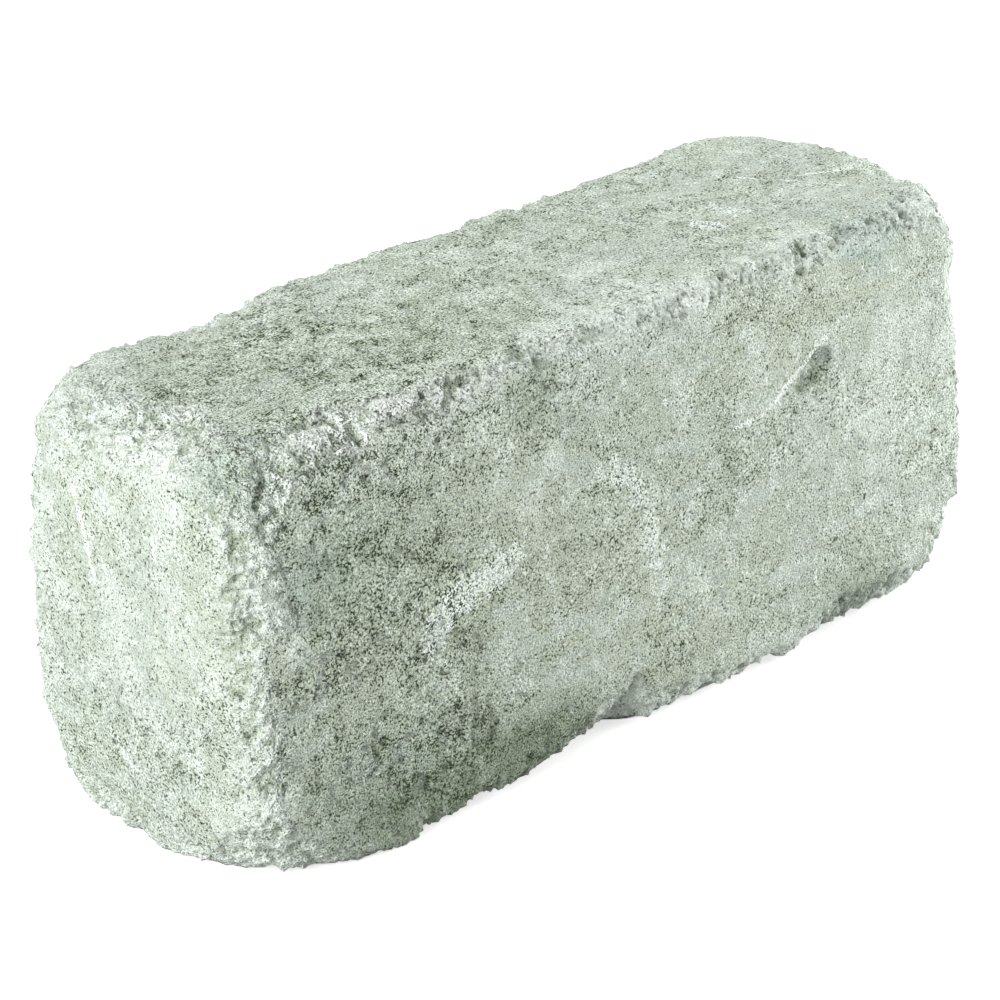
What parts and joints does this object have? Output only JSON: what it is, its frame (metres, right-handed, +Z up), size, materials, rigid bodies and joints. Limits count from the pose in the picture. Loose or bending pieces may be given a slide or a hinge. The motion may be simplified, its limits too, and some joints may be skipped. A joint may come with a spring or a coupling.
{
  "type": "concrete paver",
  "caption": "Tumbled rectangular concrete paver block with unevenly worn, chipped arrises and knocked-off corners, for paths, edging and low walls.",
  "frame": {"origin": "middle of the bed face, on which the block stands, halfway along its length and its width", "axes": "+X along the block's length towards its far end, +Y across its width towards its back, +Z up from the bed face to the top face"},
  "size_m": [0.3048, 0.1016, 0.1397],
  "materials": {
    "concrete": "rough, open-textured cast concrete, worn by tumbling"
  },
  "bodies": {
    "root": {"paver": "concrete"}
  },
  "joints": []
}
